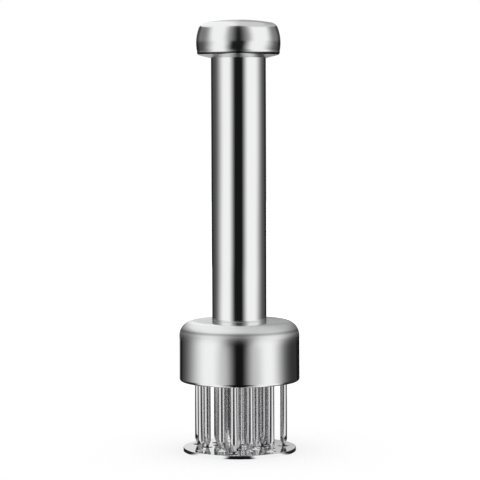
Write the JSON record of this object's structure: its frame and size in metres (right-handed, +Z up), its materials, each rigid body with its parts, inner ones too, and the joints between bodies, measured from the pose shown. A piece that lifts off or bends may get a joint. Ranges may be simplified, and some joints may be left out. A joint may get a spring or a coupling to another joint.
{
  "type": "meat tenderizer",
  "caption": "Hand meat tenderizer with rings of needle blades under a round bell head, a sprung guard plate on a sliding rod, and a tube handle with a knob.",
  "frame": {"origin": "middle of the guard plate's underside, which the tool stands on, at rest with the spring out", "axes": "+Z up the handle to the knob, -Y towards the side that the picture shows, +X to its right"},
  "size_m": [0.056, 0.056, 0.2],
  "materials": {
    "polished_steel": "mirror polished stainless steel",
    "needle_steel": "ground and polished stainless steel",
    "turned_aluminium": "plain turned",
    "plain_steel": "plain stainless steel",
    "brass": "turned",
    "rubber": "matt black"
  },
  "bodies": {
    "handle": {"backing_plate": "turned_aluminium", "clamp_nut": "plain_steel", "guide_bush": "brass", "handle_ferrule": "turned_aluminium", "handle_tube": "polished_steel", "head_bell": "polished_steel", "head_sleeve": "turned_aluminium", "knob": "polished_steel", "needle_blade_01": "needle_steel", "needle_blade_02": "needle_steel", "needle_blade_03": "needle_steel", "needle_blade_04": "needle_steel", "needle_blade_05": "needle_steel", "needle_blade_06": "needle_steel", "needle_blade_07": "needle_steel", "needle_blade_08": "needle_steel", "needle_blade_09": "needle_steel", "needle_blade_10": "needle_steel", "needle_blade_11": "needle_steel", "needle_blade_12": "needle_steel", "needle_blade_13": "needle_steel", "needle_blade_14": "needle_steel", "needle_blade_15": "needle_steel", "needle_blade_16": "needle_steel", "needle_blade_17": "needle_steel", "needle_blade_18": "needle_steel", "needle_blade_19": "needle_steel", "needle_blade_20": "needle_steel", "needle_blade_21": "needle_steel", "needle_holder": "turned_aluminium", "return_spring": "plain_steel", "stop_buffer": "rubber", "top_plug": "turned_aluminium"},
    "guard": {"guard_plate": "polished_steel", "guard_screw": "plain_steel", "guide_rod": "polished_steel", "rod_collar": "plain_steel", "lock_nut": "plain_steel"}
  },
  "joints": [
    {"name": "guard_slide", "type": "slide", "parent": "handle", "child": "guard", "axis": [0, 0, 1], "range_m": [0, 0.0305], "stiffness_N_per_m": 1040, "springref_m": -0.01, "deforming": ["return_spring"]}
  ]
}
